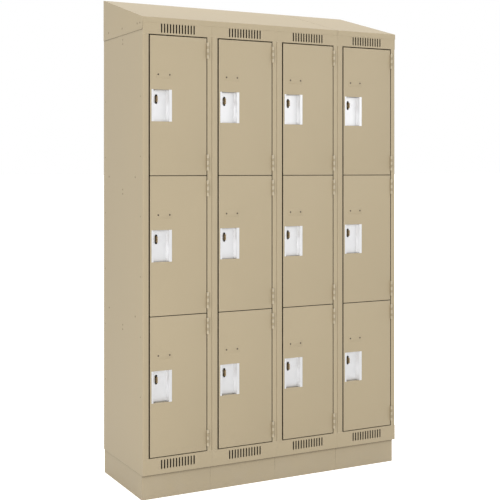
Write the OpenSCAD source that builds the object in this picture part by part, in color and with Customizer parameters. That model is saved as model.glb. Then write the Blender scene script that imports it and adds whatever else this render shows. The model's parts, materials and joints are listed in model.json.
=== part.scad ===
// A bank of box lockers: four columns of three compartments, with a sloping top and a closed base.
// Millimetres. Z is up, the doors face -Y, and the origin is on the floor under the middle of the bank.

/* [Bank] */
// Width of one column of lockers
column_width = 304.8; // [290:0.1:330]
// Depth from the front face to the back
body_depth = 457.2; // [380:0.1:540]
// Height of the locker bodies, without base and slope
body_height = 1828.8; // [1700:0.1:1980]
// Height of the closed base
base_height = 101.6; // [60:0.1:160]
// How far the base front stands behind the faces
base_recess = 18; // [8:0.5:40]
// Rise of the sloping top from front to back
slope_rise = 127; // [60:1:160]
// How far the base's ends stand inside the sides
base_inset = 3; // [0:0.1:6]
// Gap left between neighbouring columns
seam_gap = 0.3; // [0.1:0.1:1]

/* [Frame] */
// Sheet thickness of bodies and frames
sheet = 1.2; // [0.8:0.1:1.5]
// Radius of the stiles' outer corners
corner_radius = 4; // [2.5:0.5:6]
// Latch stile, from the column's edge to the door opening
latch_stile = 25; // [22:0.25:32]
// Hinge stile, from the column's edge to the door opening
hinge_stile = 21.25; // [18:0.25:28]
// Depth of the jamb behind the face
jamb_depth = 19; // [18.5:0.5:20]
// Width of the strike lip behind the latch edge
strike_lip = 13.5; // [12:0.5:14]
// Height of the bottom rail
bottom_rail = 65.4; // [55:0.1:80]
// Height of the top rail
top_rail = 67.6; // [55:0.1:80]

/* [Louvres] */
// Number of slots in a rail
louvre_count = 12; // [4:1:16]
// Distance from slot to slot
louvre_pitch = 13; // [11:0.5:15]
// Width of a slot
louvre_width = 6; // [4:0.5:7]
// Height of a slot
louvre_height = 37; // [20:1:38]
// How far a vane turns in behind its slot
vane_depth = 9; // [3:0.5:10]

/* [Doors] */
// Gap around a door at its hinge side and bottom
door_gap = 3.5; // [3.2:0.1:5]
// Gap at a door's latch side
latch_gap = 6; // [5:0.1:6.5]
// Gap above the top doors
head_gap = 4.5; // [3:0.1:6]
// Gap between two doors of one column
tier_gap = 3; // [2:0.1:5]
// Depth of the door pan
door_depth = 16; // [12:0.5:16]
// Thickness of the door sheet
door_sheet = 1.5; // [1:0.1:1.5]
// Width of the hem behind the door's edges
door_hem = 10; // [5:0.5:11]

/* [Pull] */
// Height of the recessed pull
pull_height = 128; // [110:1:150]
// From the door's latch edge to the pull
pull_inset = 6; // [4:0.2:8]
// Width over both rims
pull_width = 88.4; // [80:0.2:100]
// Depth of the recess
pull_depth = 20; // [16:0.5:20]
// Sheet thickness of the pull
pull_sheet = 1.2; // [0.8:0.1:1.2]
// Height of the slot for the hasp
hasp_slot_height = 39; // [30:1:44]
// Width of the slot for the hasp
hasp_slot_width = 11; // [9:0.5:14]
// Height of the hasp above the middle of the pull
hasp_rise = 26; // [10:1:34]

/* [Hardware] */
// Length of a hinge barrel
hinge_length = 64; // [50:1:76]
// From a door's end to the nearest hinge barrel
hinge_inset = 19; // [12:1:40]
// Radius of a hinge barrel
barrel_radius = 4.5; // [3.8:0.1:4.6]
// Radius of a hinge pin
pin_radius = 2; // [1.5:0.1:2.2]
// Radius of the padlock eye
eye_radius = 4.5; // [3:0.1:5]
// Height of the coat hooks below the top of a compartment's door
hook_drop = 6; // [2:1:60]

/* [Hidden] */
$fn = 48;
columns = 4;
tiers = 3;
TIER_NAMES = ["bottom", "middle", "top"];
bank_width = columns * column_width;
// The barrels stand clear of the face so that a door can fold right back.
barrel_clearance = 0.3;
barrel_proud = 2 * barrel_radius + barrel_clearance;
// The barrels are the furthest thing forward, so this centres the bank's depth on the origin.
y_face = (barrel_proud - body_depth) / 2;
z_body = base_height;
z_top = base_height + body_height;
// The bodies stop just under the sloping top's sheet.
z_rim = z_top - 2 * sheet;
z_sill = z_body + bottom_rail;
z_head = z_top - top_rail;
door_height = (z_head - head_gap - z_sill - door_gap - (tiers - 1) * tier_gap) / tiers;
door_pitch = door_height + tier_gap;
door_width = column_width - latch_stile - hinge_stile - latch_gap - door_gap;
z_pull = door_height / 2;
half_seam = seam_gap / 2;
wall = half_seam + sheet;

// Pin axis, level with the hinge stile's edge and in front of the face
pin_depth = -barrel_radius - barrel_clearance;
bore_radius = pin_radius + 0.05;
leaf = 1.2;
leaf_depth = 14;
knuckles = 5;
knuckle_gap = 1.2;
knuckle = (hinge_length - (knuckles - 1) * knuckle_gap) / knuckles;
leaf_start = 0.3;

// How far beside its slot a vane leaves the rail
vane_root = 1.4;

// Recessed pull, measured from the door's latch edge
rim_left = 8;
rim_right = 11.6;
rim_proud = 1.2;
wall_left = 3.6;
wall_right = 6;
floor_sag = 1.5;
pull_left = pull_inset + rim_left;
pull_right = pull_inset + pull_width - rim_right;
floor_left = pull_left + wall_left;
floor_right = pull_right - wall_right;
floor_steps = 10;

// Padlock hasp
hasp_plate = 3;
hasp_height = 24;
hasp_centre = 34;
hasp_tip = 6;
hasp_leg = 23;
hasp_back = hasp_leg + 3;
eye_depth = 13.5;

// Sloping top
lip_height = 22;
lip_proud = 1;
end_lap = 50;
top_gap = 1.2;
end_plate = 1.5;
end_edge = 3;
end_corner = 9;

// Shelves and small parts
shelf_front = jamb_depth + 0.3;
shelf_flange = 15;
shelf_side_flange = 12;
hook_depth = 225;
hook_reach = 22;
lower_hook_drop = 60;
anchor_radius = 4.5;
wall_anchor_radius = 4;
wall_anchor_span = 1200;
silencer_radius = 4.5;

function column_x(c) = -bank_width / 2 + (c - 1) * column_width;
function door_z(t) = z_sill + door_gap + t * door_pitch;
function tier_line(t) = door_z(t) - tier_gap / 2;

// A box given by its X range, its depth range behind the face and its Z range
module slab(x0, x1, d0, d1, z0, z1) {
    translate([x0, y_face + d0, z0]) cube([x1 - x0, d1 - d0, z1 - z0]);
}

// Children drawn once in every compartment, at the door's lower latch corner on the face
module at_each_door() {
    for (c = [1:columns], t = [0:tiers - 1]) at_door(c, t) children();
}

module at_door(c, t) {
    translate([column_x(c) + latch_stile + latch_gap, y_face, door_z(t)]) children();
}

// The outline of a side, from above: wall, rounded corner, stile face, jamb and strike lip
module side_outline(stile, lip) {
    width = stile - half_seam;
    translate([0, corner_radius]) square([sheet, body_depth - corner_radius - sheet]);
    translate([corner_radius, 0]) square([width - corner_radius, sheet]);
    translate([width - sheet, 0]) square([sheet, jamb_depth]);
    translate([corner_radius, corner_radius]) intersection() {
        difference() {
            circle(r = corner_radius);
            circle(r = corner_radius - sheet);
        }
        translate([-corner_radius, -corner_radius]) square(corner_radius);
    }
    if (lip > 0) translate([width - sheet, jamb_depth - sheet]) square([sheet + lip, sheet]);
}

module side(stile, lip) {
    translate([0, y_face, z_sill]) linear_extrude(z_head - z_sill) side_outline(stile, lip);
    slab(0, sheet, sheet, body_depth - sheet, z_body, z_sill);
    slab(0, sheet, sheet, body_depth - sheet, z_head, z_rim);
}

module latch_side(c) {
    color("wheat") translate([column_x(c) + half_seam, 0, 0]) side(latch_stile, strike_lip);
}

module hinge_side(c) {
    color("wheat") translate([column_x(c + 1) - half_seam, 0, 0]) mirror([1, 0, 0]) side(hinge_stile, 0);
}

// One slot outline with round ends, standing along Y of the drawing
module louvre_slot() {
    straight = louvre_height - louvre_width;
    translate([-louvre_width / 2, -straight / 2]) square([louvre_width, straight]);
    for (end = [-1, 1]) translate([0, end * straight / 2]) circle(d = louvre_width);
}

// A rail face with its slots and vanes. z_low and z_high bound the face, z_slot is the slots' middle.
module rail_face(c, z_low, z_high, z_slot) {
    x = column_x(c);
    first = column_width / 2 - (louvre_count - 1) * louvre_pitch / 2;
    translate([x, y_face + sheet, 0]) rotate([90, 0, 0]) linear_extrude(sheet) difference() {
        translate([half_seam, z_low]) square([column_width - seam_gap, z_high - z_low]);
        for (n = [0:louvre_count - 1]) translate([first + n * louvre_pitch, z_slot]) louvre_slot();
    }
    vane_length = louvre_height - louvre_width - 3;
    for (n = [0:louvre_count - 1])
        translate([x + first + n * louvre_pitch - louvre_width / 2 - vane_root, y_face + sheet - 0.2, z_slot - vane_length / 2])
            rotate([0, 0, -35]) cube([sheet / 2, vane_depth, vane_length]);
}

module louvred_rails() {
    color("wheat") for (c = [1:columns]) {
        x0 = column_x(c) + wall;
        x1 = column_x(c + 1) - wall;
        rail_face(c, z_body, z_sill, z_body + 37.5);
        slab(x0, x1, 0, jamb_depth, z_sill - sheet, z_sill);
        rail_face(c, z_head, z_rim, z_top - 42.5);
        slab(x0, x1, 0, jamb_depth, z_head, z_head + sheet);
    }
}

module back_panels() {
    color("tan") for (c = [1:columns]) difference() {
        slab(column_x(c) + half_seam, column_x(c + 1) - half_seam, body_depth - sheet, body_depth, z_body, z_rim);
        if (c == 1 || c == columns)
            for (side = [-1, 1])
                translate([column_x(c) + column_width / 2, 0, z_body + body_height / 2 + side * wall_anchor_span / 2])
                    rotate([90, 0, 0]) cylinder(r = wall_anchor_radius, h = body_depth * 2, center = true);
    }
}

module tier_shelves() {
    color("tan") for (c = [1:columns], t = [1:tiers - 1]) {
        x0 = column_x(c) + wall;
        x1 = column_x(c + 1) - wall;
        z = tier_line(t) + sheet / 2;
        slab(x0, x1, shelf_front, body_depth - sheet, z - sheet, z);
        slab(x0 + 35, x1 - 20, shelf_front, shelf_front + sheet, z - shelf_flange, z);
        slab(x0, x0 + sheet, 60, body_depth - 30, z - shelf_side_flange, z);
        slab(x1 - sheet, x1, 60, body_depth - 30, z - shelf_side_flange, z);
    }
}

module floor_panels() {
    color("tan") for (c = [1:columns])
        slab(column_x(c) + wall, column_x(c + 1) - wall, sheet, body_depth - sheet, z_body, z_body + sheet);
}

module ceiling_panels() {
    color("tan") for (c = [1:columns])
        slab(column_x(c) + wall, column_x(c + 1) - wall, sheet, body_depth - sheet, z_rim - sheet, z_rim);
}

// The sloping top's outline from the side: front lip, slope and back
module slope_outline() {
    pitch = slope_rise / (body_depth + lip_proud);
    drop = sheet * sqrt(1 + pow(pitch, 2));
    polygon([
        [-lip_proud, z_top - lip_height], [-lip_proud, z_top],
        [body_depth, z_top + slope_rise], [body_depth, z_rim], [body_depth - sheet, z_rim],
        [body_depth - sheet, z_top + slope_rise - drop - sheet * pitch],
        [0, z_top + lip_proud * pitch - drop], [0, z_top - lip_height]
    ]);
}

module slope_top(x0, x1) {
    translate([x0, y_face, 0]) rotate([90, 0, 90]) linear_extrude(x1 - x0) slope_outline();
}

module slope_top_wide() {
    color("wheat") slope_top(column_x(1), column_x(columns) - top_gap);
}

module slope_top_narrow() {
    color("wheat") slope_top(column_x(columns) + top_gap, column_x(columns + 1));
}

module slope_top_ends() {
    color("wheat") for (side = [0, 1])
        translate([column_x(1 + side * columns) - (1 - side) * end_plate, y_face, 0])
            rotate([90, 0, 90]) linear_extrude(end_plate) polygon(concat(
                [for (a = [180:10:270])
                    [end_edge + end_corner + end_corner * cos(a), z_top - end_lap + end_corner + end_corner * sin(a)]],
                [[body_depth, z_top - end_lap], [body_depth, z_top + slope_rise], [-lip_proud, z_top],
                 [-lip_proud, z_top - lip_height], [end_edge, z_top - lip_height]]
            ));
}

module base_fronts() {
    color("tan") for (c = [1:columns])
        slab(
            column_x(c) + (c == 1 ? half_seam + base_inset : half_seam),
            column_x(c + 1) - (c == columns ? half_seam + base_inset : half_seam),
            base_recess, base_recess + sheet, 0, z_body
        );
}

module base_frame() {
    front = base_recess + sheet;
    flange = 38;
    outer = half_seam + base_inset;
    color("tan") {
        for (side = [-1, 1]) mirror([side > 0 ? 1 : 0, 0, 0]) difference() {
            union() {
                slab(column_x(1) + outer, column_x(1) + outer + sheet, front, body_depth, 0, z_body);
                slab(column_x(1) + outer + sheet, column_x(1) + outer + sheet + flange, front, body_depth - 20, 0, 2 * sheet);
            }
            for (d = [80, 380])
                translate([column_x(1) + outer + sheet + flange / 2, y_face + d, -1]) cylinder(r = anchor_radius, h = 10);
        }
        slab(column_x(1) + outer + sheet + 0.2, column_x(columns + 1) - outer - sheet - 0.2, body_depth - sheet, body_depth, 0, z_body);
        for (c = [2:columns])
            slab(column_x(c) - sheet, column_x(c) + sheet, front + 0.2, body_depth - sheet - 0.2, 0, z_body);
    }
}

// A pressed door: face, returns and hems, cut out for the pull, with flanges closing the recess's ends
module door(c, t) {
    color("khaki") at_door(c, t) difference() {
        union() {
            cube([door_width, door_sheet, door_height]);
            for (x = [0, door_width - door_sheet]) translate([x, 0, 0]) cube([door_sheet, door_depth, door_height]);
            for (z = [0, door_height - door_sheet]) translate([0, 0, z]) cube([door_width, door_depth, door_sheet]);
            for (x = [0, door_width - door_hem])
                translate([x, door_depth - door_sheet, 0]) cube([door_hem, door_sheet, door_height]);
            for (z = [0, door_height - door_hem])
                translate([0, door_depth - door_sheet, z]) cube([door_width, door_sheet, door_hem]);
            for (end = [-1, 1])
                translate([0, 0, z_pull + end * (pull_height + door_sheet) / 2 - door_sheet / 2])
                    linear_extrude(door_sheet) polygon([
                        [pull_left - pull_sheet, 0], [floor_left - pull_sheet, pull_depth + pull_sheet],
                        [floor_right + pull_sheet, pull_depth + pull_sheet], [pull_right + pull_sheet, 0]
                    ]);
        }
        translate([pull_left - pull_sheet, -1, z_pull - pull_height / 2])
            cube([pull_right - pull_left + 2 * pull_sheet, door_sheet + 2, pull_height]);
    }
}

function floor_point(n, back) =
    let (u = n / floor_steps)
    [floor_left + u * (floor_right - floor_left), pull_depth - floor_sag * pow(2 * u - 1, 2) + back * pull_sheet];

// The pull's outline from above, front line first and then its back line in reverse
module pull_outline() {
    polygon(concat(
        [[pull_inset, -rim_proud], [pull_left, -rim_proud]],
        [for (n = [0:floor_steps]) floor_point(n, 0)],
        [[pull_right, -rim_proud], [pull_inset + pull_width, -rim_proud], [pull_inset + pull_width, 0],
         [pull_right + pull_sheet, 0]],
        [for (n = [floor_steps:-1:0]) floor_point(n, 1)],
        [[pull_left - pull_sheet, 0], [pull_inset, 0]]
    ));
}

// The slot for the hasp, with round ends, cut straight back
module hasp_slot() {
    straight = hasp_slot_height - hasp_slot_width;
    translate([-hasp_slot_width / 2, 0, -straight / 2]) cube([hasp_slot_width, pull_depth, straight]);
    for (end = [-1, 1])
        translate([0, 0, end * straight / 2]) rotate([-90, 0, 0]) cylinder(d = hasp_slot_width, h = pull_depth);
}

module pull(c, t) {
    color("gainsboro") at_door(c, t) difference() {
        translate([0, 0, z_pull - pull_height / 2]) linear_extrude(pull_height) pull_outline();
        translate([hasp_centre, pull_depth / 2, z_pull + hasp_rise]) hasp_slot();
    }
}

// A hinge leaf with some of the barrel's knuckles. side is -1 for the door's leaf and 1 for the frame's.
module hinge_leaf(side, picks) {
    x = side < 0 ? -door_gap : -leaf;
    translate([x, leaf_start - pin_depth, 0]) cube([leaf, leaf_depth, hinge_length]);
    for (n = picks) translate([0, 0, n * (knuckle + knuckle_gap)]) difference() {
        union() {
            cylinder(r = barrel_radius, h = knuckle);
            translate([x, 0, 0]) cube([leaf, leaf_start - pin_depth + 1, knuckle]);
        }
        translate([0, 0, -1]) cylinder(r = bore_radius, h = knuckle + 2);
    }
}

// Children drawn at the bottom of both hinge barrels of a door, on the pin axis
module at_hinges() {
    for (z = [hinge_inset, door_height - hinge_inset - hinge_length])
        translate([door_width + door_gap, pin_depth, z]) children();
}

module door_hinges(c, t) {
    color("sandybrown") at_door(c, t) at_hinges() hinge_leaf(-1, [1, 3]);
}

module hinge_frame_leaves() {
    color("peru") at_each_door() at_hinges() hinge_leaf(1, [0, 2, 4]);
}

module hinge_pins() {
    color("silver") at_each_door() at_hinges() {
        translate([0, 0, 0.5]) cylinder(r = pin_radius, h = hinge_length);
        translate([0, 0, hinge_length]) cylinder(r1 = pin_radius + 1, r2 = pin_radius, h = 1.2);
    }
}

// A hasp on the back of the strike lip, reaching forward through the pull's slot
module hasp() {
    foot = strike_lip - latch_gap - 10;
    difference() {
        translate([0, 0, -hasp_height / 2]) {
            translate([foot, jamb_depth, 0]) cube([9, hasp_back - jamb_depth, hasp_height]);
            translate([foot, hasp_leg, 0])
                cube([hasp_centre + hasp_plate / 2 - foot, hasp_back - hasp_leg, hasp_height]);
            translate([hasp_centre - hasp_plate / 2, hasp_tip, 0])
                cube([hasp_plate, hasp_back - hasp_tip, hasp_height]);
        }
        translate([hasp_centre, eye_depth, 0]) rotate([0, 90, 0]) cylinder(r = eye_radius, h = 10, center = true);
    }
}

module padlock_hasps() {
    color("darkkhaki") at_each_door() translate([0, 0, z_pull + hasp_rise]) hasp();
}

// A single-prong wall hook, its plate against the wall at x = 0
module coat_hook() {
    translate([0, -8, -18]) cube([2, 16, 36]);
    rotate([0, 90, 0]) cylinder(r = 2.5, h = hook_reach);
    translate([hook_reach, 0, 0]) sphere(r = 2.5);
    translate([hook_reach, 0, 0]) cylinder(r = 2.5, h = 11);
    translate([hook_reach, 0, 12]) sphere(r = 3.6);
}

module coat_hooks() {
    color("gray") for (c = [1:columns], t = [0:tiers - 1])
        translate([0, y_face + hook_depth, door_z(t) + door_height - hook_drop]) {
            z = t == tiers - 1 ? 0 : -lower_hook_drop;
            translate([column_x(c) + wall, 0, z]) coat_hook();
            translate([column_x(c + 1) - wall, 0, z]) mirror([1, 0, 0]) coat_hook();
        }
}

module silencers() {
    color("dimgray") at_each_door() for (z = [door_height * 0.2, door_height * 0.8])
        translate([strike_lip - latch_gap - silencer_radius - 0.25, jamb_depth - sheet, z]) rotate([90, 0, 0]) cylinder(r = silencer_radius, h = 1.4);
}

// A low fastener head on a side, its seat at x = 0 facing -X
module head(radius) {
    rotate([0, -90, 0]) cylinder(r1 = radius, r2 = radius * 0.7, h = 1);
}

module side_fasteners() {
    for (t = [1:tiers - 1], d = [83, 389.5]) translate([0, y_face + d, tier_line(t) - 6]) head(4);
    for (t = [0:tiers - 1], bolt = [-9, 9])
        translate([0, y_face + hook_depth, door_z(t) + door_height - hook_drop + bolt - (t == tiers - 1 ? 0 : lower_hook_drop)]) head(3.6);
    for (n = [0:5], d = [25, body_depth - 20])
        translate([0, y_face + d, z_body + 309.4 + n * 240.6]) head(2.2);
    for (d = [28, 57, 228, 393]) translate([-end_plate - half_seam, y_face + d, z_top - 22]) head(4);
}

module fasteners() {
    color("tan") for (side = [0, 1]) mirror([side, 0, 0])
        translate([column_x(1) + half_seam, 0, 0]) side_fasteners();
}

for (c = [1:columns], t = [0:tiers - 1]) {
    door(c, t);
    pull(c, t);
    door_hinges(c, t);
}
for (c = [1:columns]) {
    latch_side(c);
    hinge_side(c);
}
louvred_rails();
back_panels();
tier_shelves();
floor_panels();
ceiling_panels();
slope_top_wide();
slope_top_narrow();
slope_top_ends();
base_fronts();
base_frame();
hinge_frame_leaves();
hinge_pins();
padlock_hasps();
coat_hooks();
silencers();
fasteners();
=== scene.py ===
# %% [markdown]
# # A bank of steel lockers
# Twelve box lockers stand in four columns of three, under a sloping top and on a
# closed base. The CAD model already has every shape and every moving part, so this
# lesson only dresses it: rounded sheet-metal edges, powder coat, satin steel pulls,
# plated hooks and number plates. Places are read from the CAD nodes wherever one
# gives them, so the finish stays on its piece.

# %%
import json
import math

import bmesh
import bpy
from mathutils import Matrix, Vector


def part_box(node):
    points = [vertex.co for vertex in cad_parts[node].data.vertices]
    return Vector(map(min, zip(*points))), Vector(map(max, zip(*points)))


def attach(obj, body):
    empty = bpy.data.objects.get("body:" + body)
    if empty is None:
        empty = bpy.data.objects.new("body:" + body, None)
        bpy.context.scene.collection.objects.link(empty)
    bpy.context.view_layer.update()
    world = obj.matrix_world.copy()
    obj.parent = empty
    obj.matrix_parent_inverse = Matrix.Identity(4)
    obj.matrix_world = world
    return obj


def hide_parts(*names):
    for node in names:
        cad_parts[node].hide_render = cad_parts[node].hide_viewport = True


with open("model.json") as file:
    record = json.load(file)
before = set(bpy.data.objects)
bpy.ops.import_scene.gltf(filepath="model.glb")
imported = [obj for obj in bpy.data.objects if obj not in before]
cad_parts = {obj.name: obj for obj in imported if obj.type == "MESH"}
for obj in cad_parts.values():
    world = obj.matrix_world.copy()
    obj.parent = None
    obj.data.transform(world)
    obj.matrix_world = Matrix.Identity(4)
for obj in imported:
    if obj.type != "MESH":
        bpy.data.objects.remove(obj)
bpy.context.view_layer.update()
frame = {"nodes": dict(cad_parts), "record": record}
MM = 0.001
COLUMNS = (1, 2, 3, 4)
TIERS = ("bottom", "middle", "top")
doors = [f"{c}_{t}" for c in COLUMNS for t in TIERS]

# %% [markdown]
# ## Camera
# A bank of lockers is tall and shallow, so it is shown from its front left corner at
# about chest height. A camera could be tilted down to take in the base, but then the
# upright edges would lean together. This one stays level and its lens is shifted
# down instead, as an architect would do.

# %%
FACE_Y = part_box("latch_side_1")[0].y
LEFT_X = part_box("louvred_rails")[0].x
STAND_LEFT, STAND_AHEAD, EYE_HEIGHT = 1.5237, 3.8287, 1.324
TURN = math.radians(27.63)
LENS, SENSOR = 74.3, 36
SHIFT_DOWN = 0.1624


def add_camera():
    camera = bpy.data.objects.new("camera", bpy.data.cameras.new("camera"))
    bpy.context.scene.collection.objects.link(camera)
    camera.location = (LEFT_X - STAND_LEFT, FACE_Y - STAND_AHEAD, EYE_HEIGHT)
    camera.rotation_euler = (math.radians(90), 0, -TURN)
    camera.data.sensor_width = SENSOR
    camera.data.lens = LENS
    camera.data.shift_y = -SHIFT_DOWN
    bpy.context.scene.camera = camera
    return camera


print("camera at", tuple(round(v, 3) for v in add_camera().location))

# %% [markdown]
# ## Surround
# A studio sky image could light the lockers, but coated steel wants nothing more
# than an even glow from all sides, as inside a white tent. So the world is plain
# white. It lights the steel a little less strongly than the camera sees it, which
# keeps the background clean without washing out the coat.

# %%
SURROUND = 0.765


def plain_colours():
    view = bpy.context.scene.view_settings
    view.view_transform = "Standard"
    view.look = "None"


def add_surround():
    world = bpy.data.worlds.new("studio")
    world.use_nodes = True
    tree = world.node_tree
    ray = tree.nodes.new("ShaderNodeLightPath")
    strength = tree.nodes.new("ShaderNodeMapRange")
    strength.inputs["To Min"].default_value = SURROUND
    strength.inputs["To Max"].default_value = 1.0
    tree.links.new(ray.outputs["Is Camera Ray"], strength.inputs["Value"])
    tree.nodes["Background"].inputs["Color"].default_value = (1, 1, 1, 1)
    tree.links.new(strength.outputs["Result"], tree.nodes["Background"].inputs["Strength"])
    bpy.context.scene.world = world


plain_colours()
add_surround()
print("surround lights at", SURROUND)

# %% [markdown]
# ## Light panels
# An even surround alone leaves flat steel looking flat. A broad panel at the left
# front brightens the rounded corners, a wide strip high at the right front shows in
# the pulls, and one overhead lifts the sloping top. Area lights are used, not points
# or spots, because their size is what makes a soft edge on a shadow.

# %%
PANELS = (  # name, place, point it aims at, width and height, watts
    ("key_panel", (-5.2, -4.5, 1.1), (0, 0, 0.9), (3.4, 2.2), 140),
    ("right_panel", (3.2, -4.4, 2.3), (0, 0, 1.4), (3.4, 1.2), 27),
    ("overhead_panel", (0.2, 0.2, 4.8), (0, 0, 0), (3.4, 2.4), 67),
)


def add_panel(name, place, aim, size, watts):
    light = bpy.data.lights.new(name, "AREA")
    light.shape = "RECTANGLE"
    light.size, light.size_y = size
    light.energy = watts
    lamp = bpy.data.objects.new(name, light)
    lamp.location = place
    direction = Vector(aim) - Vector(place)
    lamp.rotation_euler = direction.to_track_quat("-Z", "Y").to_euler()
    bpy.context.scene.collection.objects.link(lamp)


for panel in PANELS:
    add_panel(*panel)
print("light panels:", len(PANELS))

# %% [markdown]
# ## Floor
# One large sheet is enough for the floor. It gets its finish further down.

# %%
FLOOR_REACH = 200


def add_floor():
    bm = bmesh.new()
    bmesh.ops.create_grid(bm, x_segments=1, y_segments=1, size=FLOOR_REACH)
    mesh = bpy.data.meshes.new("floor")
    bm.to_mesh(mesh)
    bm.free()
    sheet = bpy.data.objects.new("floor", mesh)
    bpy.context.scene.collection.objects.link(sheet)
    return sheet


floor = add_floor()
print("floor reaches", FLOOR_REACH, "m each way")

# %% [markdown]
# ## Small helpers for materials
# Every finish here is a few nodes. Image textures would need an unwrapped surface
# and would blur close up. Nodes that read Object coordinates keep a pattern at its
# real size on every piece. These helpers save typing: each adds one node and hands
# on its output, and any input may be a plain value or another node's output.

# %%
def plug(tree, source, socket):
    """Link an output to a socket, or set a plain value on it."""
    if hasattr(source, "is_output"):
        tree.links.new(source, socket)
    else:
        socket.default_value = source


def add(tree, kind, inputs=None, **settings):
    node = tree.nodes.new("ShaderNode" + kind)
    for key, value in settings.items():
        setattr(node, key, value)
    for label, source in (inputs or {}).items():
        plug(tree, source, node.inputs[label])
    return node


def maths(tree, operation, *values, clamp=False):
    node = add(tree, "Math", dict(enumerate(values)), operation=operation, use_clamp=clamp)
    return node.outputs[0]


def remap(tree, value, start, end, low=0.0, high=1.0, soft=False):
    """Take start..end to low..high and stop there, with soft ends if asked."""
    node = add(tree, "MapRange",
               {"Value": value, "From Min": start, "From Max": end, "To Min": low, "To Max": high},
               interpolation_type="SMOOTHSTEP" if soft else "LINEAR")
    return node.outputs["Result"]


print("node helpers: plug, add, maths, remap")

# %% [markdown]
# Four more helpers stand for the nodes that every finish uses: where a point is on
# the object, a cloudy noise there, a colour made brighter or darker, and one colour
# laid over another.

# %%
def object_place(tree):
    return add(tree, "TexCoord").outputs["Object"]


def noise(tree, place, scale, detail):
    """Scale is in waves a metre."""
    return add(tree, "TexNoise", {"Vector": place, "Scale": scale, "Detail": detail}).outputs["Fac"]


def scaled(tree, colour, factor):
    return add(tree, "VectorMath", {0: colour, "Scale": factor}, operation="SCALE").outputs[0]


def laid_over(tree, amount, under, over, way="MIX"):
    node = add(tree, "Mix", {0: amount}, data_type="RGBA", blend_type=way)
    under_socket, over_socket, result = node.inputs[6], node.inputs[7], node.outputs[2]
    plug(tree, under, under_socket)
    plug(tree, over, over_socket)
    return result


print("node helpers: object_place, noise, scaled, laid_over")

# %% [markdown]
# ## Node groups
# Copying the same nodes into every material would work, but a change would then
# have to be made in each. A node group is built once, with named inputs and outputs,
# and each material places it with its own values. Groups hand on only colours and
# numbers that vary over the surface. The shader itself stays in the material.

# %%
COLOUR, NUMBER, VECTOR = "NodeSocketColor", "NodeSocketFloat", "NodeSocketVector"


def new_group(name, inputs, outputs):
    tree = bpy.data.node_groups.new(name, "ShaderNodeTree")
    for label, kind, value in inputs:
        socket = tree.interface.new_socket(label, in_out="INPUT", socket_type=kind)
        socket.default_value = value
    for label, kind in outputs:
        tree.interface.new_socket(label, in_out="OUTPUT", socket_type=kind)
    return tree, tree.nodes.new("NodeGroupInput").outputs, tree.nodes.new("NodeGroupOutput").inputs


def use_group(tree, group, **values):
    """An underscore in a value's name stands for a space in the input's name."""
    node = tree.nodes.new("ShaderNodeGroup")
    node.node_tree = group
    for label, value in values.items():
        plug(tree, value, node.inputs[label.replace("_", " ")])
    return node.outputs


print("node groups can be made and placed")

# %% [markdown]
# ## Powder coat: tone and gloss
# Powder coat is baked paint. From further off its tone drifts by a percent or two,
# and it picks up a trace of dust low down, where feet and brooms stir it up. One
# noise in broad clouds and one in fine specks move the tone, and the clouds move
# the gloss with it, because a thicker coat is both darker and smoother.

# %%
CLOUDS, SPECKS = 3.5, 900.0
DUST_COLOUR = (0.42, 0.38, 0.32, 1)
DUST_TOP = 0.35
DUST_PATCHES = 14.0
GLOSS_DRIFT = 0.12


def make_coat_tone():
    tree, given, out = new_group(
        "coat_tone",
        [("Coat", COLOUR, (0.44, 0.37, 0.26, 1)), ("Drift", NUMBER, 0.04),
         ("Dust", NUMBER, 0.05), ("Gloss", NUMBER, 0.4)],
        [("Color", COLOUR), ("Roughness", NUMBER)])
    place = object_place(tree)
    clouds = noise(tree, place, CLOUDS, 3.0)
    specks = maths(tree, "SUBTRACT", noise(tree, place, SPECKS, 1.0), 0.5)
    specks = maths(tree, "MULTIPLY", specks, 0.5)
    swing = maths(tree, "ADD", maths(tree, "SUBTRACT", clouds, 0.5), specks)
    swing = maths(tree, "MULTIPLY_ADD", swing, given["Drift"], 1.0)
    tone = scaled(tree, given["Coat"], swing)
    height = add(tree, "SeparateXYZ", {"Vector": place}).outputs["Z"]
    low = remap(tree, height, 0.0, DUST_TOP, 1.0, 0.0, soft=True)
    film = maths(tree, "MULTIPLY", noise(tree, place, DUST_PATCHES, 5.0), low)
    film = maths(tree, "MULTIPLY", film, given["Dust"])
    plug(tree, laid_over(tree, film, tone, DUST_COLOUR), out["Color"])
    plug(tree, maths(tree, "MULTIPLY_ADD", clouds, GLOSS_DRIFT, given["Gloss"]), out["Roughness"])
    return tree


coat_tone = make_coat_tone()
print("group:", coat_tone.name)

# %% [markdown]
# ## Powder coat: orange peel
# Close up, powder coat has a fine orange peel, about 1.5 mm from crest to crest and
# a few hundredths of a millimetre deep. Real geometry that fine would need millions
# of faces, so the peel is only a bump, which bends the light and not the surface.

# %%
PEEL_PITCH = 650.0
PEEL_DEPTH = 0.06 * MM


def make_orange_peel():
    tree, given, out = new_group("orange_peel", [("Height", NUMBER, 0.35)], [("Normal", VECTOR)])
    peel = noise(tree, object_place(tree), PEEL_PITCH, 2.0)
    bump = add(tree, "Bump", {"Strength": given["Height"], "Distance": PEEL_DEPTH, "Height": peel})
    plug(tree, bump.outputs["Normal"], out["Normal"])
    return tree


orange_peel = make_orange_peel()
print("group:", orange_peel.name, "with", round(1000 / PEEL_PITCH, 1), "mm waves")
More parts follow.
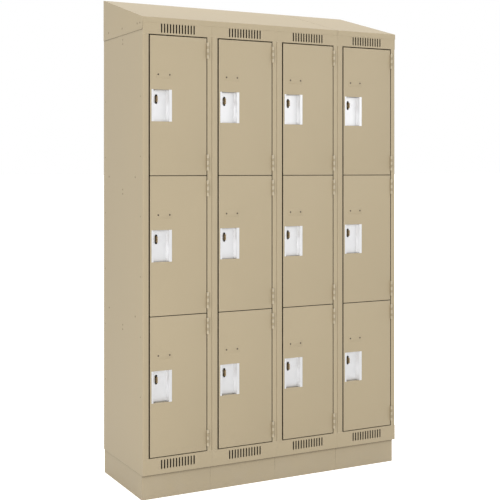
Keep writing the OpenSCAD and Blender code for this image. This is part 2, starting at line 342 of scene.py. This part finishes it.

# %% [markdown]
# ## Pale edges: wear and painted highlight
# Hands and bags polish the corners of a locker first, and a rounded edge catches more light
# than the flat beside it, so the pale line along an edge is partly wear and partly painted
# highlight. The edges could be painted by hand, but there are hundreds. A bevel lookup finds
# them instead: it gives the normal that a rounded edge would have, and where that differs from
# the real normal, an edge is near. Noise breaks the line up, because wear is never even.

# %%
def make_rubbed_and_lit_edge():
    tree, given, out = new_group(
        "rubbed_and_lit_edge",
        [("Coat", COLOUR, (0.5, 0.5, 0.5, 1)), ("Worn", COLOUR, (0.6, 0.55, 0.45, 1)),
         ("Reach", NUMBER, 0.0015), ("Amount", NUMBER, 0.5)],
        [("Color", COLOUR)])
    true_normal = add(tree, "NewGeometry").outputs["Normal"]
    rounded = add(tree, "Bevel", {"Radius": given["Reach"]}, samples=4).outputs["Normal"]
    turn = add(tree, "VectorMath", {0: rounded, 1: true_normal}, operation="DOT_PRODUCT")
    edge = remap(tree, turn.outputs["Value"], 0.99, 0.8)
    chips = remap(tree, noise(tree, object_place(tree), 45.0, 6.0), 0.42, 0.62, 0.25, 1.0)
    mask = maths(tree, "MULTIPLY", maths(tree, "MULTIPLY", edge, chips), given["Amount"])
    # the pale edge is partly wear and partly painted highlight
    plug(tree, laid_over(tree, mask, given["Coat"], given["Worn"]), out["Color"])
    return tree


rubbed_and_lit_edge = make_rubbed_and_lit_edge()
print("group:", rubbed_and_lit_edge.name)

# %% [markdown]
# ## Painted shade in the gaps
# The gaps around a door and the seam under the top lie in shade. An ambient
# occlusion lookup over about a centimetre finds such places, and the coat there is
# multiplied by a dull brown as painted shade. Left alone it would darken every inner
# corner, so masks hold it back. On the front it starts only a little behind the face,
# and it fades out near the floor, so the foot of the base gets no dark line. A jamb is
# shaded almost from its edge, so the group is told which way a part's jambs face, 1 for right and -1 for
# left.

# %%
# near-black brown that the coat is multiplied by where shade is painted
PAINTED_SHADE_COLOUR = (0.05, 0.04, 0.025, 1)
OPEN, SHUT = 0.96, 0.5
SOFT_EDGE = 1 * MM
JAMB_EDGE = FACE_Y + 0.8 * MM
NO_SHADE_BELOW, FULL_SHADE_ABOVE = 20 * MM, 70 * MM


def make_painted_crevice_shade():
    tree, given, out = new_group(
        "painted_crevice_shade",
        [("Coat", COLOUR, (0.5, 0.5, 0.5, 1)), ("Reach", NUMBER, 0.012), ("Depth", NUMBER, 0.8),
         ("Start", NUMBER, FACE_Y + 4.5 * MM), ("Jamb Side", NUMBER, 0.0)],
        [("Color", COLOUR)])
    hidden = add(tree, "AmbientOcclusion", {"Distance": given["Reach"]}, samples=6).outputs["AO"]
    place = add(tree, "SeparateXYZ", {"Vector": object_place(tree)}).outputs
    behind = maths(tree, "SUBTRACT", place["Y"], given["Start"])
    behind = remap(tree, behind, -SOFT_EDGE, SOFT_EDGE, soft=True)
    normal = add(tree, "NewGeometry").outputs["Normal"]
    sideways = add(tree, "SeparateXYZ", {"Vector": normal}).outputs["X"]
    jamb = maths(tree, "MULTIPLY", sideways, given["Jamb Side"], clamp=True)
    jamb = maths(tree, "MULTIPLY", jamb, maths(tree, "GREATER_THAN", place["Y"], JAMB_EDGE))
    shade_mask = maths(tree, "MAXIMUM", behind, jamb)
    # painted shade fades out towards the floor, so the foot of the base gets no dark line
    shade_mask = maths(tree, "MULTIPLY", shade_mask, remap(tree, place["Z"], NO_SHADE_BELOW, FULL_SHADE_ABOVE, soft=True))
    shade_mask = maths(tree, "MULTIPLY", remap(tree, hidden, OPEN, SHUT), shade_mask)
    amount = maths(tree, "MULTIPLY", shade_mask, given["Depth"])
    plug(tree, laid_over(tree, amount, given["Coat"], PAINTED_SHADE_COLOUR, "MULTIPLY"), out["Color"])
    return tree


painted_crevice_shade = make_painted_crevice_shade()
print("group:", painted_crevice_shade.name)

# %% [markdown]
# ## Painted finishes
# A locker is sprayed after it is built, so all of it could share one material. But
# a base collects more dust than a door, a stile has a wider pale edge than a back, partly
# wear and partly painted highlight, and some places take more painted shade than others,
# so one function makes every painted material from the four groups, with its own amounts.

# %%
BEIGE = (0.455, 0.376, 0.248, 1)
# pale edge colour, partly wear and partly painted highlight
BEIGE_EDGE = (0.64, 0.56, 0.41, 1)
COAT_SHINE = 0.3
PEEL = 0.35
coats = {}


def painted(key, coat=BEIGE, edge_tone=BEIGE_EDGE, drift=0.05, dust=0.1, gloss=0.38, edge_mix=0.5,
            reach=1.5 * MM, shade_depth=0.9, start=FACE_Y + 4.5 * MM, gap=12 * MM, jamb=0.0):
    material = bpy.data.materials.new(key + "_coat")
    material.use_nodes = True
    tree = material.node_tree
    shader = tree.nodes["Principled BSDF"]
    tone = use_group(tree, coat_tone, Coat=coat, Drift=drift, Dust=dust, Gloss=gloss)
    # pale edges: partly wear, partly painted highlight
    edge = use_group(tree, rubbed_and_lit_edge, Coat=tone["Color"], Worn=edge_tone, Reach=reach, Amount=edge_mix)
    # painted shade in gaps, creases and corners
    shaded_coat = use_group(tree, painted_crevice_shade, Coat=edge["Color"], Reach=gap, Depth=shade_depth, Start=start,
                     Jamb_Side=jamb)
    bumps = use_group(tree, orange_peel, Height=PEEL)
    plug(tree, shaded_coat["Color"], shader.inputs["Base Color"])
    plug(tree, tone["Roughness"], shader.inputs["Roughness"])
    plug(tree, bumps["Normal"], shader.inputs["Normal"])
    shader.inputs["Specular IOR Level"].default_value = COAT_SHINE
    coats[key] = material


print("painted finishes start from beige", BEIGE[:3])

# %% [markdown]
# ## The beige coats
# The stiles and the door edges get the widest pale line, partly wear and partly painted
# highlight beside the gaps, and their jambs and returns get painted shade. The rails take no
# painted shade, because their louvres are dark enough from real shade alone. The top gets
# painted shade under its end plates, the base a deeper one under the bodies' overhang, the
# interior a light one in its corners, and the plate's pale rim is a painted highlight.

# %%
# jambs get painted shade; the wide pale edge is partly wear, partly painted highlight
painted("latch_side", edge_mix=1.0, reach=2.5 * MM, jamb=1.0)
painted("hinge_side", edge_mix=1.0, reach=2.5 * MM, jamb=-1.0)
painted("rail", shade_depth=0.0)
painted("door", drift=0.06, edge_mix=1.0, reach=2 * MM, start=FACE_Y + 1.5 * MM)
# painted shade under the top's end plates
painted("top", dust=0.0)
# deeper painted shade under the bodies' overhang
painted("base", drift=0.07, dust=0.3, gloss=0.45, shade_depth=0.95, gap=16 * MM)
painted("interior", edge_mix=0.1, gloss=0.45, shade_depth=0.4)
# the plate's pale rim is a painted highlight along its edge
painted("plate", edge_mix=0.8, reach=0.6 * MM, shade_depth=0.0)
print("beige finishes:", ", ".join(coats))

# %% [markdown]
# ## Coats on small parts
# The hinge coats are a lit and a shaded copy of one paint: the frame leaves are a shade
# lighter than the bodies, as painted highlight, and the door leaves a shade darker, as
# painted shade, so the knuckles can be told apart. Fastener heads and rivets are darker all
# over, as painted shade that makes them read as dark dots and holes. The padlock hasps are
# bronze-tan, and shackles rub them down to a pale edge; painted shade darkens them in the slot.

# %%
SMALL = 0.8 * MM
TINY = 0.6 * MM
# painted highlight on the frame leaves and painted shade on the door leaves
painted("hinge", (0.54, 0.465, 0.33, 1), (0.68, 0.62, 0.48, 1), edge_mix=0.8, reach=SMALL)
painted("door_hinge", (0.40, 0.33, 0.215, 1), (0.50, 0.43, 0.30, 1), reach=SMALL)
# dark coats as painted shade on fastener heads and rivet holes
painted("fastener", (0.27, 0.215, 0.14, 1), (0.22, 0.18, 0.12, 1), reach=TINY, shade_depth=0.0)
painted("rivet", (0.10, 0.08, 0.055, 1), (0.2, 0.17, 0.12, 1), reach=TINY, shade_depth=0.0)
# painted shade darkens the hasps where they sit in the pull slots
painted("hasp", (0.30, 0.205, 0.09, 1), (0.52, 0.45, 0.33, 1), edge_mix=0.9, gloss=0.3, reach=1.2 * MM, shade_depth=0.6)
print("painted finishes in all:", len(coats))

# %% [markdown]
# ## Satin steel: the grain
# The pulls are pressed from bright steel with a satin grain that runs up and down.
# Anisotropic shading could draw that, but it needs a direction on every face. A
# noise stretched along Z gives the grain itself. It moves the roughness and a bump,
# and a second, cloudy noise smears the tone a little, as fingers do.

# %%
STRETCH_UP = (1.0, 1.0, 0.02)
GRAIN_DEPTH = 0.04 * MM
GRAIN_SPREAD = 0.16


def make_satin_grain():
    tree, given, out = new_group(
        "satin_grain",
        [("Metal", COLOUR, (0.85, 0.85, 0.85, 1)), ("Grain", NUMBER, 1400.0),
         ("Base Roughness", NUMBER, 0.3), ("Depth", NUMBER, 0.2)],
        [("Color", COLOUR), ("Roughness", NUMBER), ("Normal", VECTOR)])
    place = object_place(tree)
    long = add(tree, "Mapping", {"Vector": place, "Scale": STRETCH_UP}).outputs[0]
    grain = noise(tree, long, given["Grain"], 2.0)
    smear = remap(tree, noise(tree, place, 18.0, 4.0), 0.3, 0.7, 0.97, 1.0)
    bump = add(tree, "Bump", {"Strength": given["Depth"], "Distance": GRAIN_DEPTH, "Height": grain})
    plug(tree, scaled(tree, given["Metal"], smear), out["Color"])
    plug(tree, maths(tree, "MULTIPLY_ADD", grain, GRAIN_SPREAD, given["Base Roughness"]), out["Roughness"])
    plug(tree, bump.outputs["Normal"], out["Normal"])
    return tree


satin_grain = make_satin_grain()
print("group:", satin_grain.name)

# %% [markdown]
# ## The three metals
# Pulls, hinge pins and coat hooks share the grain. Pins and hooks have a coarser one.
# The crevice shade group is used once more, over half a centimetre, to paint shade into
# the pull's sharp bends so that they look deeper. Metallic stays a plain one.

# %%
BEND_REACH = 5 * MM
ANYWHERE = -1.0


def metal(key, name, colour, rough, grain, depth=0.2, bends=0.0):
    material = bpy.data.materials.new(name)
    material.use_nodes = True
    tree = material.node_tree
    shader = tree.nodes["Principled BSDF"]
    satin = use_group(tree, satin_grain, Metal=colour, Grain=grain, Base_Roughness=rough, Depth=depth)
    # painted shade in the pull's bends
    bend_shade = use_group(tree, painted_crevice_shade, Coat=satin["Color"], Reach=BEND_REACH, Depth=bends,
                        Start=ANYWHERE)
    plug(tree, bend_shade["Color"], shader.inputs["Base Color"])
    plug(tree, satin["Roughness"], shader.inputs["Roughness"])
    plug(tree, satin["Normal"], shader.inputs["Normal"])
    shader.inputs["Metallic"].default_value = 1.0
    coats[key] = material


# bends sets how much shade is painted into the pull's bends
metal("pull", "satin_steel", (0.85, 0.85, 0.857, 1), 0.42, 1400.0, bends=0.35)
metal("pin", "pin_steel", (0.62, 0.60, 0.57, 1), 0.3, 700.0)
metal("hook", "zinc_plate", (0.66, 0.66, 0.65, 1), 0.4, 500.0, 0.4)
print("metals: satin_steel, pin_steel, zinc_plate")

# %% [markdown]
# ## Rubber and the floor
# The silencers are soft black rubber, matt and slightly mottled by handling, and the
# floor is a pale sheet with a very faint mottle. Both are one noise between two tones.
# The floor also glows, but only to the camera, so it looks as white as the surround
# and still sends up the right amount of light.

# %%
FLOOR_GLOW = 0.8


def mottled(name, dark, light, scale, rough, spread):
    material = bpy.data.materials.new(name)
    material.use_nodes = True
    tree = material.node_tree
    shader = tree.nodes["Principled BSDF"]
    mottle = noise(tree, object_place(tree), scale, 4.0)
    ramp = add(tree, "ValToRGB", {"Fac": mottle})
    ramp.color_ramp.elements[0].color = dark
    ramp.color_ramp.elements[1].color = light
    plug(tree, ramp.outputs["Color"], shader.inputs["Base Color"])
    plug(tree, maths(tree, "MULTIPLY_ADD", mottle, spread, rough), shader.inputs["Roughness"])
    return material


def glow_to_camera(material, amount):
    tree = material.node_tree
    shader = tree.nodes["Principled BSDF"]
    seen = add(tree, "LightPath").outputs["Is Camera Ray"]
    shader.inputs["Emission Color"].default_value = (1, 1, 1, 1)
    plug(tree, maths(tree, "MULTIPLY", seen, amount), shader.inputs["Emission Strength"])


coats["silencer"] = mottled("black_rubber", (0.02, 0.02, 0.02, 1), (0.045, 0.043, 0.04, 1), 300.0, 0.7, 0.2)
pale_floor = mottled("pale_floor", (0.86, 0.86, 0.86, 1), (0.88, 0.88, 0.88, 1), 2.0, 0.75, 0.1)
glow_to_camera(pale_floor, FLOOR_GLOW)
floor.data.materials.append(pale_floor)
print("rubber and floor finishes made")

# %% [markdown]
# ## Copies that stand in for CAD nodes
# A CAD node arrives as loose triangles with knife edges, and it is never changed
# itself. A Bevel modifier on it would round every triangle. So each node is copied,
# the copy's triangles are merged and dissolved back into flat faces, and the edges of
# the real sheet are then easy to find by the angle between their two faces.

# %%
FLAT = math.radians(0.6)


def merged(node):
    bm = bmesh.new()
    bm.from_mesh(frame["nodes"][node].data)
    bmesh.ops.remove_doubles(bm, verts=bm.verts, dist=1e-6)
    bmesh.ops.dissolve_limit(bm, angle_limit=FLAT, verts=bm.verts, edges=bm.edges)
    return bm


def sharp_edges(bm, least=40):
    limit = math.radians(least)
    return [e for e in bm.edges if len(e.link_faces) == 2 and e.calc_face_angle(0) > limit]


def bevel(bm, edges, width, segments=3):
    if edges:
        bmesh.ops.bevel(bm, geom=edges, offset=width, offset_type="OFFSET", segments=segments,
                        profile=0.5, affect="EDGES", material=-1, clamp_overlap=True)


trial = merged("door_1_top")
print("door_1_top has", len(trial.faces), "flat faces and", len(sharp_edges(trial)), "sharp edges")
trial.free()

# %% [markdown]
# ## Finishing a piece
# Faces are shaded smooth and edges sharper than 24 degrees are kept crisp, so a bevel
# rolls over and a fold stays a fold. Each piece then rides on its body, which is what
# makes it move with a door, and the CAD nodes it replaces are hidden.

# %%
CRISP = math.radians(24)
SLOTS = {s["node"]: s["material_slot"] for s in frame["record"]["subparts"]}
BODY_OF = {n: b for b, names in frame["record"]["behaviour"]["bodies"].items() for n in names}


def finish_piece(bm, name, body, coat, replaced=()):
    mesh = bpy.data.meshes.new(name)
    bm.to_mesh(mesh)
    bm.free()
    mesh.polygons.foreach_set("use_smooth", [True] * len(mesh.polygons))
    mesh.set_sharp_from_angle(angle=CRISP)
    piece = bpy.data.objects.new(name, mesh)
    bpy.context.scene.collection.objects.link(piece)
    mesh.materials.append(coats[coat])
    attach(piece, body)
    if replaced:
        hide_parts(*replaced)
    return piece


def stand_in(node, edges=None, width=0.0, segments=3, coat=None):
    bm = merged(node)
    if edges:
        bevel(bm, edges(bm), width, segments)
    piece = finish_piece(bm, node + "_shown", BODY_OF[node], coat or SLOTS[node], [node])


print("slots in use:", ", ".join(sorted(set(SLOTS.values()))))

# %% [markdown]
# ## Doors
# A door is a shallow pan folded from one sheet, so its outer face turns into its four
# sides with a radius about as large as the sheet is thick. Bevelling every edge would
# also round the cut-out for the pull, which is sheared and stays sharp. So only edges
# between two points of the outline are picked: those on the face, and the four
# corners that run back from it.

# %%
NEAR = 0.01 * MM
DOOR_BEND = 1.4 * MM
RETURN_LEAST = 5 * MM


def front_outline(bm):
    low = [min(v.co[i] for v in bm.verts) for i in range(3)]
    high = [max(v.co[i] for v in bm.verts) for i in range(3)]

    def on_limit(v):
        return [abs(v.co[i] - low[i]) < NEAR or abs(v.co[i] - high[i]) < NEAR for i in (0, 2)]

    picked = []
    for e in sharp_edges(bm):
        a, b = e.verts
        on_face = all(abs(v.co.y - low[1]) < NEAR for v in (a, b))
        runs_back = all(on_limit(a) + on_limit(b)) and abs(a.co.y - b.co.y) > RETURN_LEAST
        if any(on_limit(a)) and any(on_limit(b)) and (on_face or runs_back):
            picked.append(e)
    return picked


for name in doors:
    stand_in("door_" + name, front_outline, DOOR_BEND)
print("doors:", len(doors), "with folded edges")

# %% [markdown]
# ## Recessed pulls
# A pull is one strip of satin steel bent into a trough with a rim on each side. The
# bends run upright and are as long as the strip is high, so direction and length pick
# them out. Each gets a small radius, which is what catches the light along the rims.

# %%
PULL_BEND = 0.5 * MM
BEND_LEAST = 100 * MM


def upright_bends(bm):
    picked = []
    for e in sharp_edges(bm, 25):
        along = e.verts[0].co - e.verts[1].co
        if abs(along.z) > 0.9 * along.length and along.length > BEND_LEAST:
            picked.append(e)
    return picked


for name in doors:
    stand_in("pull_" + name, upright_bends, PULL_BEND, 2)
print("pulls:", len(doors))

# %% [markdown]
# ## Bodies and rails
# The stiles' rounded corners come from the CAD model. What is missing is the small
# radius where a stile or a rail turns in beside a door. Those edges are long and lie
# in the face, while the louvres' edges are short, and that sorts them.

# %%
STILE_BEND = 0.9 * MM
LONG = 150 * MM


def long_front_edges(bm):
    return [e for e in sharp_edges(bm)
            if all(abs(v.co.y - FACE_Y) < NEAR for v in e.verts) and e.calc_length() > LONG]


for c in COLUMNS:
    for side in ("latch_side", "hinge_side"):
        stand_in(f"{side}_{c}", long_front_edges, STILE_BEND, 2, side)
stand_in("louvred_rails", long_front_edges, STILE_BEND, 2, "rail")
print("columns:", len(COLUMNS), "and their louvred rails")

# %% [markdown]
# ## Top, base and everything else
# The sloping top, its end plates and the base fronts are folded sheets, so all their
# sharp edges get a radius. The inner sheets, the hinges and the small hardware are
# seen from too far off for one, and only take their finish.

# %%
SHEET_BEND = 0.5 * MM
FOLDED = ("slope_top_wide", "slope_top_narrow", "slope_top_ends", "base_fronts")
AS_CAD = ("back_panels", "tier_shelves", "floor_panels", "ceiling_panels", "base_frame",
          "hinge_frame_leaves", "hinge_pins", "padlock_hasps", "coat_hooks", "silencers", "fasteners")
for node in FOLDED:
    stand_in(node, sharp_edges, SHEET_BEND, 2)
for node in AS_CAD:
    stand_in(node)
for name in doors:
    stand_in("door_hinges_" + name, coat="door_hinge")
print("all", len(frame["nodes"]), "CAD nodes have a finished piece")

# %% [markdown]
# ## Number plates: the sheet
# Each door carries a blank plate above its pull, a thin sheet with rounded corners.
# A plane with a Solidify modifier would do, but a box is as quick: a wide bevel on the
# four edges that run through it makes the corners, and a fine bevel softens its rim.

# %%
PLATE_SIZE = (69 * MM, 0.5 * MM, 30 * MM)
PLATE_CORNER = 3 * MM
PLATE_RIM = 0.2 * MM


def plate_sheet(centre):
    bm = bmesh.new()
    bmesh.ops.create_cube(bm, size=1.0, matrix=Matrix.Translation(centre) @ Matrix.Diagonal((*PLATE_SIZE, 1)))
    corners = [e for e in bm.edges if abs((e.verts[0].co - e.verts[1].co).normalized().y) > 0.9]
    bevel(bm, corners, PLATE_CORNER, 4)
    front = min(v.co.y for v in bm.verts)
    rim = [e for e in bm.edges if all(abs(v.co.y - front) < NEAR for v in e.verts)]
    bevel(bm, rim, PLATE_RIM, 2)
    return bm


print("a plate is", [round(v / MM, 1) for v in PLATE_SIZE], "mm")

# %% [markdown]
# ## Number plates: the rivets
# Two small tubular rivets hold a plate. Such a rivet is a low collar around a hole.
# It starts as a disc, which is extruded forwards, inset to leave the collar, and
# extruded back again to sink the hole.

# %%
RIVET_RADIUS = 3.5 * MM
RIVET_RISE = 0.5 * MM
RIVET_SINK = 0.4 * MM
COLLAR = 0.45
FORWARDS = Vector((0, -1, 0))


def extrude_face(bm, face, move):
    made = bmesh.ops.extrude_face_region(bm, geom=[face])
    moved = [g for g in made["geom"] if isinstance(g, bmesh.types.BMFace)][0]
    bmesh.ops.translate(bm, verts=moved.verts[:], vec=move)
    return moved


def add_tubular_rivet(bm, centre):
    turn = Matrix.Translation(centre) @ Matrix.Rotation(math.radians(90), 4, "X")
    made = bmesh.ops.create_circle(bm, cap_ends=True, segments=20, radius=RIVET_RADIUS, matrix=turn)
    disc = made["verts"][0].link_faces[0]
    top = extrude_face(bm, disc, FORWARDS * RIVET_RISE)
    bmesh.ops.inset_individual(bm, faces=[top], thickness=RIVET_RADIUS * COLLAR)
    extrude_face(bm, top, -FORWARDS * RIVET_SINK)


print("a rivet is", round(2 * RIVET_RADIUS / MM, 1), "mm across")

# %% [markdown]
# ## Number plates: on the doors
# The plate's place is measured from its own door's latch edge and head. It rides on
# that door's body with its rivets, so both swing with the door.

# %%
PLATE_FROM_LATCH = 60 * MM
PLATE_FROM_HEAD = 156 * MM
RIVETS_APART = 50 * MM


def number_plate(name):
    low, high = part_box("door_" + name)
    half = PLATE_SIZE[1] / 2
    centre = Vector((low.x + PLATE_FROM_LATCH, FACE_Y - half, high.z - PLATE_FROM_HEAD))
    plate = finish_piece(plate_sheet(centre), "number_plate_" + name, "leaf_" + name, "plate")
    bm = bmesh.new()
    for side in (-0.5, 0.5):
        add_tubular_rivet(bm, centre + Vector((side * RIVETS_APART, -half, 0)))
    bmesh.ops.recalc_face_normals(bm, faces=bm.faces)
    rivets = finish_piece(bm, "plate_rivets_" + name, "leaf_" + name, "rivet")


for name in doors:
    number_plate(name)
print("number plates:", len(doors))
